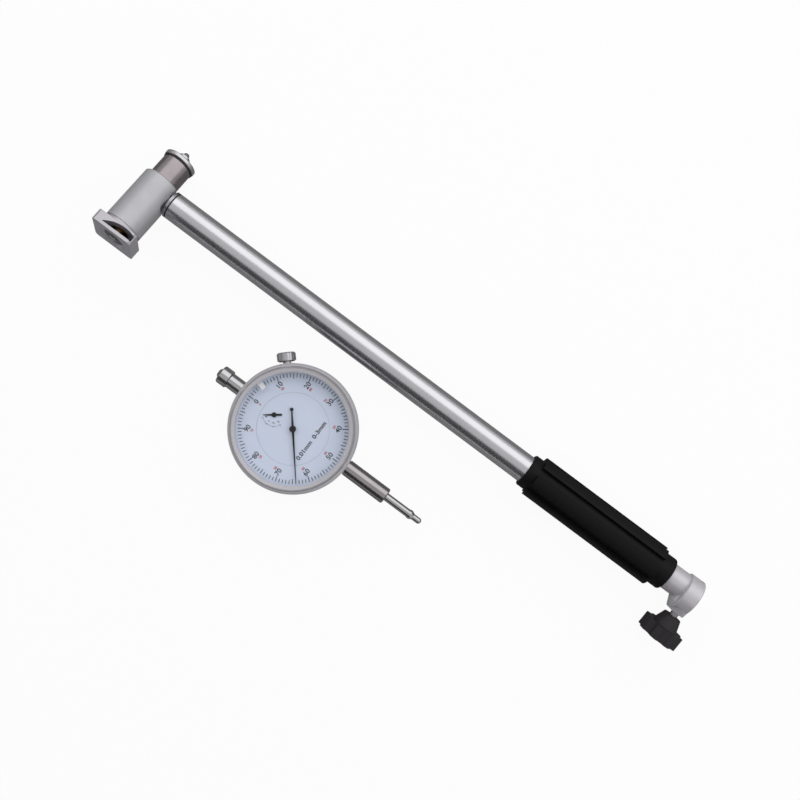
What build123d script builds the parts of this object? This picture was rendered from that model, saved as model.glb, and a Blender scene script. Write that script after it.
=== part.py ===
"""Dial bore gauge with its dial indicator taken off and laid beside the tube.

The gauge lies as it comes to rest: the tube level along X, the measuring head at the -X end and
the indicator socket at the +X end. The head is rolled a little, so that its anvil end is low and
the centring bridge high. The indicator lies on its flat back, its stem parallel to the tube.
"""
from build123d import *
import os
from math import acos, asin, atan2, cos, degrees, hypot, pi, radians, sin, sqrt

os.makedirs("parts", exist_ok=True)

# Clearances
slide_gap = 0.03        # radial play of a part that slides or turns in its guide
thread_gap = 0.03       # radial play at a thread drawn as a plain cylinder
face_gap = 0.1          # gap between faces that move past each other
cut_over = 1.0          # how far a cut starts or runs outside the face that it cuts

# How the gauge lies
head_roll = 17.0        # degrees that the anvil end is tilted down
floor_touch = 0.01      # how far the lowest rims stand clear of the floor

# Measuring head, along the measuring axis: plus is towards the anvil
barrel_radius = 9.45
barrel_anvil_end = 6.1
barrel_bridge_end = -22.95
barrel_edge = 0.5
chamber_radius = 7.4
chamber_length = 13.0
front_wall = 1.6
bush_web = 4.5
neck_pocket_radius = 7.2
neck_pocket_floor = 8.2
sleeve_radius = 7.5
sleeve_length = 11.2
sleeve_spigot_radius = 5.5
anvil_radius = 2.83
anvil_shank_length = 11.0
seal_radius = 7.9
seal_thickness = 0.8
nut_radius = 8.2
nut_thickness = 2.1
nut_edge = 0.35
anvil_nose_length = 5.1
anvil_nose_straight = 2.7
anvil_nose_tip_radius = 1.7
anvil_ball_radius = 1.5

# Centring bridge and contact
plate_length = 20.9
plate_depth = 19.8
plate_thickness = 5.6
plate_back = -24.7
plate_corner = 1.2
plate_wall = 1.5
window_arc_radius = 16.0
window_offset = 4.2
window_rise = 3.75
window_end_wall = 0.5
window_depth = 15.4
dish_radius = 6.8
dish_depth = 0.9
dish_slope = 0.8
skirt_radius = 9.0
skirt_wall = 0.9
skirt_length = 8.5
bridge_travel = 1.6
bush_radius = 4.0
bush_length = 18.0
plunger_radius = 2.5
plunger_tail_radius = 1.4
plunger_tail_length = 3.0
contact_tip_radius = 2.0
contact_tip_length = 1.5
contact_reach = 0.4
bridge_wire_radius = 0.4
bridge_coil_radius = 6.4
bridge_coil_turns = 3
guide_pin_radius = 0.55
guide_pin_place = 7.45
guide_pin_bed = 3.0

# Lever that turns the contact's motion into the push rod's
lever_arm = 4.0
lever_pad_radius = 1.3
lever_hub_radius = 2.2
lever_arm_width = 1.4
lever_thickness = 3.0
lever_pin_radius = 1.0
lever_pin_bed = 1.2
lever_play = 0.04

# Tube and push rod, along X from the measuring axis
tube_start = 11.6
tube_radius = 6.72
tube_bore_radius = 5.2
tube_end = 299.7
neck_seal_width = 0.7
neck_seal_radius = 6.6
collar_width = 1.2
collar_neck_radius = 4.1
collar_spigot_length = 6.0
collar_neck_curve = 1.4
collar_inset = 1.1
rod_radius = 1.75
rod_end = 276.0
rod_collar_radius = 3.6
rod_collar_width = 2.0
rod_collar_start = 25.0
rod_guide_width = 6.0
rod_guide_starts = (52.0, 262.0)
rod_wire_radius = 0.35
rod_coil_radius = 3.0
rod_coil_turns = 7

# Grip
grip_start = 217.4
grip_end = 299.7
grip_radius = 8.25
rib_radius = 10.25
rib_count = 6
rib_land_angle = 34.0
rib_lead = 5.0
rib_run_out = 7.0
grip_edge = 1.0

# Indicator socket and its clamp
socket_neck_radius = 6.6
socket_ring_start = 308.95
socket_end = 316.6
socket_ring_radius = 9.4
socket_ring_offset = 2.0
socket_spigot_length = 16.0
stem_radius = 4.0
boss_radius = 7.6
boss_height = 11.5
boss_edge = 4.5
boss_taper = 24.0
clamp_place = 314.1
clamp_hole_radius = 2.0
pad_radius = 1.95
pad_thickness = 1.5
pad_clear = 0.15
knob_hub_start = 14.1
knob_hub_radius = 4.45
knob_hub_end_radius = 6.5
knob_rim_start = 20.1
knob_rim_end = 26.6
knob_radius = 10.3
knob_lobes = 8
knob_valley_depth = 1.3
knob_valley_radius = 3.2
knob_dish = 0.8

# Dial indicator: place of its centre from the measuring axis, then its own sizes
dial_along = 118.7
dial_aside = 49.9
case_radius = 27.2
case_wall = 2.6
cover_thickness = 2.0
cover_spigot = 1.0
case_front = 15.2
case_front_wall = 1.2
cover_screw_inset = 1.3
cover_screw_radius = 0.8
cover_screw_head_radius = 1.4
cover_screw_length = 4.0
cover_edge = 0.5
cover_screw_sink = 0.2
stem_height = 8.6
bezel_wall = 3.3
bezel_bottom = 12.9
bezel_rim_top = 16.4
bezel_shoulder = 18.0
bezel_top = 21.6
bezel_lip_inset = 4.0
bezel_top_inset = 2.1
bezel_seat_width = 3.6
bezel_shoulder_inset = 1.2
bezel_groove_inset = 2.3
bezel_groove_width = 0.3
bezel_groove_depth = 0.4
bezel_round = 6.0
bezel_edge = 0.4
face_thickness = 0.5
face_parting_inset = 10.1
crystal_thickness = 1.4
crystal_overlap = 0.6
crystal_top = 20.6
stem_length = 26.7
stem_root_relief = 0.3
stem_root_room = 0.4
upper_stem_radius = 3.75
upper_stem_length = 10.9
cap_radius = 4.5
cap_length = 5.4
cap_step_radius = 2.8
cap_step_height = 1.2
spindle_radius = 2.0
spindle_reach = 13.3
spindle_tail_inset = 2.1
spindle_travel = 3.0
point_collar_radius = 2.25
point_collar_width = 1.2
point_radius = 1.5
point_length = 7.2
point_screw_radius = 1.0
point_screw_length = 4.0

# Indicator movement
rack_pitch = 0.625
rack_teeth = 14
rack_tooth_depth = 0.45
rack_addendum = 0.18
rack_pinion_height = 2.4
arbor_aside = 2.9
rack_pinion_teeth = 16
gear_module = 0.2
gear_teeth = 100
pinion_teeth = 10
gear_addendum = 0.15
gear_dedendum = 0.22
tooth_fraction = 0.36   # rack tooth width over its pitch
tooth_root_fraction = 0.46
tooth_tip_fraction = 0.22
gear_thickness = 0.5
arbor_radius = 0.5
plate_gap = 0.2
movement_plate_thickness = 0.7
movement_bottom = 4.4
pillar_radius = 1.2
pillar_end_inset = 10.0
pillar_side_inset = 2.0
movement_end_inset = 7.6
movement_side_inset = 7.1
movement_plate_corner = 4.0
movement_screw_radius = 0.5
movement_screw_head_radius = 1.0
movement_screw_head_height = 0.6
arbor_hole_radius = 1.3
guide_slot_place = -12.0
guide_slot_pin_radius = 0.75
spindle_collar_gap = 0.6
spindle_collar_radius = 2.9
spindle_collar_width = 1.0
hand_length = 25.0
hand_tail = 9.1
hand_width = 1.1
hand_thickness = 0.25
hand_reading = 63.9     # hundredths that the main hand shows
hand_hub_radius = 1.55
hand_tip_width = 0.3
hand_tail_blob_radius = 0.85
hand_level = 16.9
hand_hub_height = 1.2
hub_lid = 0.3
small_hand_level = 16.0
small_hand_hub_radius = 1.2
small_hand_width = 1.0
small_hand_length = 5.2
small_hand_tail = 3.7
small_hand_angle = 36.7
hairspring_turns = 3
hairspring_inner = 1.4
hairspring_outer = 4.6
hairspring_strip = 0.15
return_wire_radius = 0.25
return_coil_radius = 2.5
return_coil_turns = 5
lock_screw_angle = 133.2
lock_head_radius = 4.1
lock_head_height = 4.4
lock_neck_radius = 1.9
lock_neck_length = 0.9
lock_height = 8.7
shoe_width = 6.0
shoe_height = 7.0
shoe_thickness = 3.7
marker_angle = 162.0
marker_half_angle = 2.9
marker_depth = 4.0
marker_thickness = 0.5
marker_gap = 0.3
lock_thread_radius = 1.5

# Sizes of the indicator that follow from its case
cover_screw_place = case_radius - cover_screw_inset
face_parting_radius = case_radius - face_parting_inset
bezel_radius = case_radius + bezel_wall
bezel_lip_radius = bezel_radius - bezel_lip_inset
bezel_top_radius = bezel_radius - bezel_top_inset
bezel_bore_radius = bezel_radius - bezel_seat_width
bezel_shoulder_radius = bezel_radius - bezel_shoulder_inset
crystal_radius = bezel_bore_radius + crystal_overlap
marker_inner_radius = bezel_bore_radius - marker_depth
stem_end = case_radius + stem_length
stem_root_radius = stem_radius - stem_root_relief
stem_root_end = bezel_radius + stem_root_room
spindle_end = stem_end + spindle_reach
point_end = spindle_end + point_length
upper_stem_end = case_radius + upper_stem_length
spindle_tail = upper_stem_end - spindle_tail_inset
case_bore_radius = case_radius - case_wall
movement_plate_length = 2 * (case_bore_radius - movement_end_inset)
movement_plate_width = 2 * (case_bore_radius - movement_side_inset)
pillar_along = movement_plate_length / 2 - pillar_end_inset
pillar_aside = movement_plate_width / 2 - pillar_side_inset
spindle_collar_place = -movement_plate_length / 2 - spindle_collar_gap

# Centre distance of the indicator's gears, and the rack's line beside the spindle's axis
gear_distance = gear_module * (gear_teeth + pinion_teeth) / 2
rack_pinion_radius = rack_pinion_teeth * rack_pitch / (2 * pi)
arbor_along = sqrt(gear_distance**2 - arbor_aside**2)
rack_line = rack_pinion_radius - arbor_aside

# Directions of the gauge as it lies
along = Vector(1, 0, 0)
measuring = Vector(0, cos(radians(head_roll)), -sin(radians(head_roll)))
upward = Vector(0, sin(radians(head_roll)), cos(radians(head_roll)))

# The lock nut's far rim and the knob's rim carry the gauge, and the head's height follows from the nut
sleeve_end = barrel_anvil_end + sleeve_length
nut_start = sleeve_end + seal_thickness
nut_end = nut_start + nut_thickness
head_height = (
    (nut_end - nut_edge) * sin(radians(head_roll)) + nut_radius * cos(radians(head_roll)) + floor_touch
)

# The knob rests on the corners of two lobes, which settles how far its screw points below level
valley_circle_place = knob_radius - knob_valley_depth + knob_valley_radius
valley_half_angle = acos(
    (knob_radius**2 + valley_circle_place**2 - knob_valley_radius**2)
    / (2 * knob_radius * valley_circle_place)
)
knob_foot = knob_radius * cos(valley_half_angle)
clamp_drop = asin((head_height - floor_touch) / hypot(knob_rim_end, knob_foot)) - atan2(
    knob_foot, knob_rim_end
)
clamping = Vector(0, cos(clamp_drop), sin(clamp_drop))

# The origin is the middle of the bottom of the space that everything takes up
left_end = -plate_length / 2
right_end = clamp_place + knob_foot
plate_front = plate_back - plate_thickness
far_side = anvil_ball_radius + (nut_end + anvil_nose_length - anvil_ball_radius) * cos(radians(head_roll))
near_side = -dial_aside - bezel_radius
head_centre = Vector(-(left_end + right_end) / 2, -(far_side + near_side) / 2, head_height)
dial_centre = Vector(head_centre.X + dial_along, head_centre.Y - dial_aside, 0)

# The gauge's own planes and axes
gauge_section = Plane(origin=head_centre, x_dir=along, z_dir=upward)
head_axis = Axis(head_centre, measuring)
tube_axis = Axis(head_centre, along)


def gauge_point(x, m=0.0, n=0.0):
    """Point at x along the tube, m along the measuring axis and n above both."""
    return head_centre + along * x + measuring * m + upward * n


def across_tube(x):
    """Plane across the tube, facing the socket, with the anvil to its right."""
    return Plane(origin=gauge_point(x), x_dir=measuring, z_dir=along)


def across_head(m):
    """Plane across the measuring axis, facing the bridge, with the tube to its right."""
    return Plane(origin=gauge_point(0, m), x_dir=along, z_dir=-measuring)


def across_clamp(distance):
    """Plane across the clamp screw, facing outwards, at this distance from the tube's axis."""
    return Plane(
        origin=gauge_point(clamp_place) - clamping * distance, x_dir=along, z_dir=-clamping
    )


def across_stem(x):
    """Plane across the indicator's stem, facing away from its dial."""
    return Plane(
        origin=dial_centre + Vector(x, 0, stem_height), x_dir=Vector(0, 1, 0), z_dir=along
    )


def lock_plane(distance):
    """Plane across the bezel's lock screw, facing outwards, at this distance from the dial's axis."""
    turn = radians(lock_screw_angle)
    outward = Vector(cos(turn), sin(turn), 0)
    sideways = Vector(-sin(turn), cos(turn), 0)
    return Plane(
        origin=dial_centre + outward * distance + Vector(0, 0, lock_height), x_dir=sideways, z_dir=outward
    )


def dial_level(height, x=0.0, y=0.0):
    """Level plane at this height over the indicator's back."""
    return Plane(origin=dial_centre + Vector(x, y, height))


stem_axis = Axis(dial_centre + Vector(0, 0, stem_height), along)
dial_axis = Axis(dial_centre, Vector(0, 0, 1))
dial_section = Plane(origin=dial_centre, x_dir=along, z_dir=Vector(0, -1, 0))
stem_section = Plane(origin=dial_centre + Vector(0, 0, stem_height), x_dir=along, z_dir=Vector(0, 0, 1))


# Measuring head barrel: a turned sleeve with the lever's chamber in the middle
chamber_start = barrel_anvil_end - front_wall - chamber_length
web_start = chamber_start - bush_web
skirt_bore_radius = skirt_radius + slide_gap
skirt_end = plate_back + skirt_length
skirt_bore_end = skirt_end + bridge_travel + face_gap
spring_seat = web_start
spring_bore_radius = skirt_radius - skirt_wall - slide_gap
with BuildPart() as head_barrel:
    with BuildSketch(gauge_section):
        with BuildLine():
            Polyline(
                (skirt_bore_radius, barrel_bridge_end),
                (barrel_radius, barrel_bridge_end),
                (barrel_radius, barrel_anvil_end - barrel_edge),
                (barrel_radius - barrel_edge, barrel_anvil_end),
                (sleeve_spigot_radius, barrel_anvil_end),
                (sleeve_spigot_radius, barrel_anvil_end - front_wall),
                (chamber_radius, barrel_anvil_end - front_wall),
                (chamber_radius, chamber_start),
                (bush_radius, chamber_start),
                (bush_radius, spring_seat),
                (spring_bore_radius, spring_seat),
                (spring_bore_radius, skirt_bore_end),
                (skirt_bore_radius, skirt_bore_end),
                close=True,
            )
        make_face()
    revolve(axis=head_axis)
    # Bore for the neck collar on the tube's side, and the pocket round its neck
    with BuildSketch(across_tube(0)):
        Circle(collar_neck_radius)
    extrude(amount=barrel_radius + cut_over, mode=Mode.SUBTRACT)
    with BuildSketch(across_tube(neck_pocket_floor)):
        Circle(neck_pocket_radius)
    extrude(amount=barrel_radius, mode=Mode.SUBTRACT)
    # The lever pin goes in from below and ends in the chamber's upper wall
    pin_spot = gauge_point(lever_arm, -lever_arm, 0)
    pin_top = sqrt(chamber_radius**2 - lever_arm**2) + lever_pin_bed
    below_barrel = pin_spot - upward * (barrel_radius + cut_over)
    with BuildSketch(Plane(origin=below_barrel, x_dir=along, z_dir=upward)):
        Circle(lever_pin_radius)
    extrude(amount=barrel_radius + cut_over + pin_top, mode=Mode.SUBTRACT)
    # Hole in the web for the bridge's guide pin
    with BuildSketch(across_head(chamber_start)):
        with Locations((0, -guide_pin_place)):
            Circle(guide_pin_radius + slide_gap)
    extrude(amount=bush_web, mode=Mode.SUBTRACT)

# Anvil end: sleeve screwed into the barrel, rubber seal, lock nut and the anvil through all three
with BuildPart() as anvil_sleeve:
    with BuildSketch(gauge_section):
        with BuildLine():
            Polyline(
                (anvil_radius, barrel_anvil_end - front_wall),
                (sleeve_spigot_radius, barrel_anvil_end - front_wall),
                (sleeve_spigot_radius, barrel_anvil_end),
                (sleeve_radius, barrel_anvil_end),
                (sleeve_radius, sleeve_end),
                (anvil_radius, sleeve_end),
                close=True,
            )
        make_face()
    revolve(axis=head_axis)

with BuildPart() as anvil_seal:
    with BuildSketch(across_head(nut_start)):
        Circle(seal_radius)
        Circle(anvil_radius, mode=Mode.SUBTRACT)
    extrude(amount=seal_thickness)

with BuildPart() as anvil_lock_nut:
    with BuildSketch(across_head(nut_end)):
        Circle(nut_radius)
        Circle(anvil_radius, mode=Mode.SUBTRACT)
    extrude(amount=nut_thickness)
    rims = anvil_lock_nut.edges().filter_by(GeomType.CIRCLE).filter_by(lambda e: e.radius > sleeve_radius)
    chamfer(rims, nut_edge)

nose_end = nut_end + anvil_nose_length
ball_centre = nose_end - anvil_ball_radius
with BuildPart() as fixed_anvil:
    with BuildSketch(gauge_section):
        with BuildLine():
            Polyline(
                (0, nut_end - anvil_shank_length),
                (anvil_radius, nut_end - anvil_shank_length),
                (anvil_radius, nut_end + anvil_nose_straight),
                (anvil_nose_tip_radius, ball_centre),
                (0, ball_centre),
                close=True,
            )
        make_face()
    revolve(axis=head_axis)

with BuildPart() as anvil_tip:
    with BuildSketch(gauge_section):
        with BuildLine():
            Line((0, ball_centre), (anvil_ball_radius, ball_centre))
            RadiusArc((anvil_ball_radius, ball_centre), (0, nose_end), -anvil_ball_radius)
            Line((0, nose_end), (0, ball_centre))
        make_face()
    revolve(axis=head_axis)

# Centring bridge: a block with a dished face and a half-moon window, on a skirt that slides in the barrel
window_back = plate_front + plate_wall + window_rise
window_flat = plate_front + plate_wall
window_half = sqrt(window_arc_radius**2 - (window_arc_radius - window_rise) ** 2)
window_right = plate_length / 2 - window_end_wall
window_right_top = (
    window_back - window_arc_radius + sqrt(window_arc_radius**2 - (window_right - window_offset) ** 2)
)
with BuildPart() as centring_bridge:
    with BuildSketch(across_head(plate_back)):
        Rectangle(plate_length, plate_depth)
    extrude(amount=plate_thickness)
    corners = centring_bridge.edges().filter_by(
        lambda e: abs((e % 0.5).dot(measuring)) > 0.99
    )
    chamfer(corners, plate_corner)
    # Skirt
    with BuildSketch(across_head(skirt_end)):
        Circle(skirt_radius)
        Circle(skirt_radius - skirt_wall, mode=Mode.SUBTRACT)
    extrude(amount=skirt_length)
    # Dished middle of the measuring face
    with BuildSketch(gauge_section):
        with BuildLine():
            Polyline(
                (0, plate_front),
                (0, plate_front + dish_depth),
                (dish_radius - dish_slope, plate_front + dish_depth),
                (dish_radius, plate_front),
                close=True,
            )
        make_face()
    revolve(axis=head_axis, mode=Mode.SUBTRACT)
    # Window, cut down from the upper side
    with BuildSketch(Plane(origin=gauge_point(0, 0, plate_depth / 2), x_dir=along, z_dir=upward)):
        with BuildLine():
            ThreePointArc(
                (window_offset - window_half, window_flat),
                (window_offset, window_back),
                (window_right, window_right_top),
            )
            Line((window_right, window_right_top), (window_right, window_flat))
            Line((window_right, window_flat), (window_offset - window_half, window_flat))
        make_face()
    extrude(amount=-window_depth, mode=Mode.SUBTRACT)
    # Ways for the bush through the back wall and for the contact through the front wall
    with BuildSketch(across_head(plate_back)):
        Circle(bush_radius + slide_gap)
    extrude(amount=plate_thickness - plate_wall, mode=Mode.SUBTRACT)
    with BuildSketch(across_head(window_flat)):
        Circle(contact_tip_radius + face_gap)
    extrude(amount=plate_wall, mode=Mode.SUBTRACT)
    # Bed of the guide pin
    with BuildSketch(across_head(plate_back)):
        with Locations((0, -guide_pin_place)):
            Circle(guide_pin_radius)
    extrude(amount=guide_pin_bed, mode=Mode.SUBTRACT)

guide_pin_end = chamber_start - bridge_travel - face_gap
with BuildPart() as bridge_guide_pin:
    with BuildSketch(across_head(guide_pin_end)):
        with Locations((0, -guide_pin_place)):
            Circle(guide_pin_radius)
    extrude(amount=guide_pin_end - plate_back + guide_pin_bed)


def wind(start, direction, length, coil_radius, wire_radius, turns):
    """Coil spring of round wire that stands between two seats, in the part that is being made."""
    rise = length - 2 * wire_radius
    with BuildLine() as coil:
        Helix(
            pitch=rise / turns, height=rise, radius=coil_radius,
            center=start + direction * wire_radius, direction=direction,
        )
    with BuildSketch(Plane(origin=coil.line @ 0, z_dir=coil.line % 0)) as wire:
        Circle(wire_radius)
    sweep(wire.sketch, path=coil.line, is_frenet=True)


with BuildPart() as bridge_spring:
    wind(
        gauge_point(0, plate_back), measuring, spring_seat - plate_back,
        bridge_coil_radius, bridge_wire_radius, bridge_coil_turns,
    )

# Brass bush of the contact, pressed into the web, its nose showing in the bridge's window
with BuildPart() as contact_bush:
    with BuildSketch(across_head(chamber_start)):
        Circle(bush_radius)
        Circle(plunger_radius + slide_gap, mode=Mode.SUBTRACT)
    extrude(amount=bush_length)

# Contact plunger with its own hard tip
contact_end = plate_front - contact_reach
tip_start = contact_end + contact_tip_length
plunger_end = -lever_arm - lever_pad_radius - lever_play
with BuildPart() as contact_plunger:
    with BuildSketch(gauge_section):
        with BuildLine():
            Polyline(
                (0, tip_start),
                (contact_tip_radius, tip_start),
                (contact_tip_radius, window_flat + bridge_travel),
                (plunger_radius, window_flat + bridge_travel + face_gap),
                (plunger_radius, plunger_end - plunger_tail_length),
                (plunger_tail_radius, plunger_end - plunger_tail_length),
                (plunger_tail_radius, plunger_end),
                (0, plunger_end),
                close=True,
            )
        make_face()
    revolve(axis=head_axis)

with BuildPart() as contact_tip:
    tip_ball = (contact_tip_radius**2 + (contact_tip_length / 2) ** 2) / contact_tip_length
    tip_shoulder = contact_end + contact_tip_length / 2
    with BuildSketch(gauge_section):
        with BuildLine():
            Polyline(
                (0, contact_end), (0, tip_start), (contact_tip_radius, tip_start),
                (contact_tip_radius, tip_shoulder),
            )
            RadiusArc((contact_tip_radius, tip_shoulder), (0, contact_end), tip_ball)
        make_face()
    revolve(axis=head_axis)

# Bell crank: an L of two equal arms, so that the rod moves as far as the contact
with BuildPart() as bell_crank:
    with BuildSketch(gauge_section.offset(-lever_thickness / 2)):
        with Locations((lever_arm, -lever_arm)):
            Circle(lever_hub_radius)
        with Locations((0, -lever_arm), (lever_arm, 0)):
            Circle(lever_pad_radius)
        with Locations((lever_arm / 2, -lever_arm)):
            Rectangle(lever_arm, lever_arm_width)
        with Locations((lever_arm, -lever_arm / 2)):
            Rectangle(lever_arm_width, lever_arm)
        with Locations((lever_arm, -lever_arm)):
            Circle(lever_pin_radius + slide_gap, mode=Mode.SUBTRACT)
    extrude(amount=lever_thickness)

pin_bottom = sqrt(barrel_radius**2 - lever_arm**2) - lever_pin_bed / 2
with BuildPart() as lever_pin:
    with BuildSketch(Plane(origin=pin_spot - upward * pin_bottom, x_dir=along, z_dir=upward)):
        Circle(lever_pin_radius)
    extrude(amount=pin_bottom + pin_top)

# Neck between barrel and tube: collar with a hollowed neck, and the black ring behind it
collar_end = tube_start - neck_seal_width
collar_start = collar_end - collar_width
rod_bore_radius = rod_radius + slide_gap
with BuildPart() as neck_collar:
    with BuildSketch(gauge_section):
        with BuildLine():
            Polyline(
                (collar_start - collar_neck_curve, collar_neck_radius),
                (chamber_radius - collar_inset, collar_neck_radius),
                (chamber_radius - collar_inset, rod_bore_radius),
                (tube_start + collar_spigot_length, rod_bore_radius),
                (tube_start + collar_spigot_length, tube_bore_radius),
                (collar_end, tube_bore_radius),
                (collar_end, tube_radius),
                (collar_start, tube_radius),
            )
            RadiusArc(
                (collar_start, tube_radius),
                (collar_start - collar_neck_curve, collar_neck_radius),
                hypot(collar_neck_curve, tube_radius - collar_neck_radius),
            )
        make_face()
    revolve(axis=tube_axis)

with BuildPart() as neck_seal:
    with BuildSketch(across_tube(collar_end)):
        Circle(neck_seal_radius)
        Circle(tube_bore_radius, mode=Mode.SUBTRACT)
    extrude(amount=neck_seal_width)

with BuildPart() as tube:
    with BuildSketch(across_tube(tube_start)):
        Circle(tube_radius)
        Circle(tube_bore_radius, mode=Mode.SUBTRACT)
    extrude(amount=tube_end - tube_start)

# Push rod with the collar that its spring presses on
rod_start = lever_arm + lever_pad_radius + lever_play
with BuildPart() as push_rod:
    with BuildSketch(across_tube(rod_start)):
        Circle(rod_radius)
    extrude(amount=rod_end - rod_start)
    with BuildSketch(across_tube(rod_collar_start)):
        Circle(rod_collar_radius)
    extrude(amount=rod_collar_width)

with BuildPart() as rod_guides:
    for guide_start in rod_guide_starts:
        with BuildSketch(across_tube(guide_start)):
            Circle(tube_bore_radius)
            Circle(rod_bore_radius, mode=Mode.SUBTRACT)
        extrude(amount=rod_guide_width)

rod_spring_start = rod_collar_start + rod_collar_width
with BuildPart() as rod_spring:
    wind(
        gauge_point(rod_spring_start), along, rod_guide_starts[0] - rod_spring_start,
        rod_coil_radius, rod_wire_radius, rod_coil_turns,
    )

# Grip: a moulded sleeve with raised lands that stop short of both ends
with BuildPart() as grip:
    with BuildSketch(across_tube(grip_start)):
        Circle(grip_radius)
    extrude(amount=grip_end - grip_start)
    fillet(grip.edges().sort_by(Axis.X)[-1], grip_edge)
    chamfer(grip.edges().sort_by(Axis.X)[0], grip_edge / 2)
    with BuildSketch(across_tube(grip_start + rib_lead)):
        for rib in range(rib_count):
            with BuildLine():
                land_start = rib * 360 / rib_count - rib_land_angle / 2
                land = CenterArc((0, 0), rib_radius, land_start, rib_land_angle)
                Line((0, 0), land @ 0)
                Line(land @ 1, (0, 0))
            make_face()
    extrude(amount=grip_end - grip_start - rib_lead - rib_run_out)
    with BuildSketch(across_tube(grip_start)):
        Circle(tube_radius)
    extrude(amount=grip_end - grip_start, mode=Mode.SUBTRACT)

# Indicator socket: spigot in the tube's end, neck, and an eccentric ring with the clamp's boss
ring_shift = clamping * -socket_ring_offset
with BuildPart() as indicator_socket:
    with BuildSketch(across_tube(tube_end - socket_spigot_length)):
        Circle(tube_bore_radius)
    extrude(amount=socket_spigot_length)
    with BuildSketch(across_tube(tube_end)):
        Circle(socket_neck_radius)
    extrude(amount=socket_end - tube_end)
    with BuildSketch(Plane(origin=gauge_point(socket_ring_start) + ring_shift, z_dir=along)):
        Circle(socket_ring_radius)
    extrude(amount=socket_end - socket_ring_start)
    rims = indicator_socket.edges().filter_by(GeomType.CIRCLE)
    chamfer(rims.filter_by(lambda e: e.radius > socket_neck_radius + bezel_edge), bezel_edge)
    with BuildSketch(across_clamp(0)):
        Circle(boss_radius)
    extrude(amount=boss_height - boss_edge)
    with BuildSketch(across_clamp(boss_height - boss_edge)):
        Circle(boss_radius)
    extrude(amount=boss_edge, taper=boss_taper)
    # The boss is faced off with the socket's end
    with BuildSketch(across_tube(socket_end)):
        Circle(boss_height + boss_radius)
    extrude(amount=boss_radius, mode=Mode.SUBTRACT)
    # Bore for the indicator's stem, and the hole for the clamp screw, drilled right through
    with BuildSketch(across_tube(tube_end - socket_spigot_length)):
        Circle(stem_radius + slide_gap)
    extrude(amount=socket_end - tube_end + socket_spigot_length, mode=Mode.SUBTRACT)
    with BuildSketch(across_clamp(-socket_ring_radius)):
        Circle(clamp_hole_radius + thread_gap)
    extrude(amount=socket_ring_radius + boss_height, mode=Mode.SUBTRACT)

# Clamp: brass pad, steel screw and lobed knob
pad_face = stem_radius + slide_gap + pad_clear
with BuildPart() as clamp_pad:
    with BuildSketch(across_clamp(pad_face)):
        Circle(pad_radius)
    extrude(amount=pad_thickness)

screw_start = pad_face + pad_thickness
knob_screw_bed = knob_rim_start
with BuildPart() as clamp_screw:
    with BuildSketch(across_clamp(screw_start)):
        Circle(clamp_hole_radius)
    extrude(amount=knob_screw_bed - screw_start)

with BuildPart() as clamp_knob:
    with BuildSketch(across_clamp(knob_hub_start)):
        Circle(knob_hub_radius)
    with BuildSketch(across_clamp(knob_rim_start)):
        Circle(knob_hub_end_radius)
    loft()
    with BuildSketch(across_clamp(knob_rim_start)):
        Circle(knob_radius)
        with PolarLocations(valley_circle_place, knob_lobes, start_angle=90):
            Circle(knob_valley_radius, mode=Mode.SUBTRACT)
    extrude(amount=knob_rim_end - knob_rim_start)
    with BuildSketch(across_clamp(knob_rim_end)):
        Circle(knob_hub_end_radius)
    extrude(amount=-knob_dish, mode=Mode.SUBTRACT)
    with BuildSketch(across_clamp(knob_hub_start)):
        Circle(clamp_hole_radius)
    extrude(amount=knob_screw_bed - knob_hub_start, mode=Mode.SUBTRACT)

# Indicator case: a cup that is open at the back, its front wall carrying the dial and the movement
movement_top = stem_height + spindle_radius + plate_gap
gear_level = movement_top + movement_plate_thickness + 2 * plate_gap
pillar_places = [(-pillar_along, pillar_aside), (pillar_along, pillar_aside),
                 (-pillar_along, -pillar_aside), (pillar_along, -pillar_aside)]
front_wall_level = case_front - case_front_wall
with BuildPart() as dial_case:
    with BuildSketch(dial_section):
        with BuildLine():
            Polyline(
                (case_bore_radius, cover_thickness),
                (case_radius, cover_thickness),
                (case_radius, case_front),
                (arbor_hole_radius, case_front),
                (arbor_hole_radius, front_wall_level),
                (case_bore_radius, front_wall_level),
                close=True,
            )
        make_face()
    revolve(axis=dial_axis)
    # Posts that the movement hangs from
    with BuildSketch(dial_level(movement_top + movement_plate_thickness)):
        with Locations(*pillar_places):
            Circle(pillar_radius)
    extrude(amount=front_wall_level - movement_top - movement_plate_thickness)
    # Screw holes in the posts and in the rim
    with BuildSketch(dial_level(movement_top)):
        with Locations(*pillar_places):
            Circle(movement_screw_radius)
    extrude(amount=front_wall_level - movement_top, mode=Mode.SUBTRACT)
    with BuildSketch(dial_level(cover_thickness)):
        with PolarLocations(cover_screw_place, 4, start_angle=45):
            Circle(cover_screw_radius)
    extrude(amount=cover_screw_length, mode=Mode.SUBTRACT)
    # Holes for the lock screw, both stems and the small hand's arbor
    with BuildSketch(lock_plane(0)):
        Circle(lock_thread_radius + thread_gap)
    extrude(amount=case_radius + cut_over, mode=Mode.SUBTRACT)
    with BuildSketch(across_stem(0)):
        Circle(stem_root_radius)
    extrude(amount=case_radius + cut_over, mode=Mode.SUBTRACT)
    with BuildSketch(across_stem(0)):
        Circle(upper_stem_radius)
    extrude(amount=-case_radius - cut_over, mode=Mode.SUBTRACT)
    with BuildSketch(dial_level(front_wall_level, -gear_distance)):
        Circle(arbor_radius + slide_gap)
    extrude(amount=case_front_wall, mode=Mode.SUBTRACT)

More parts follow.
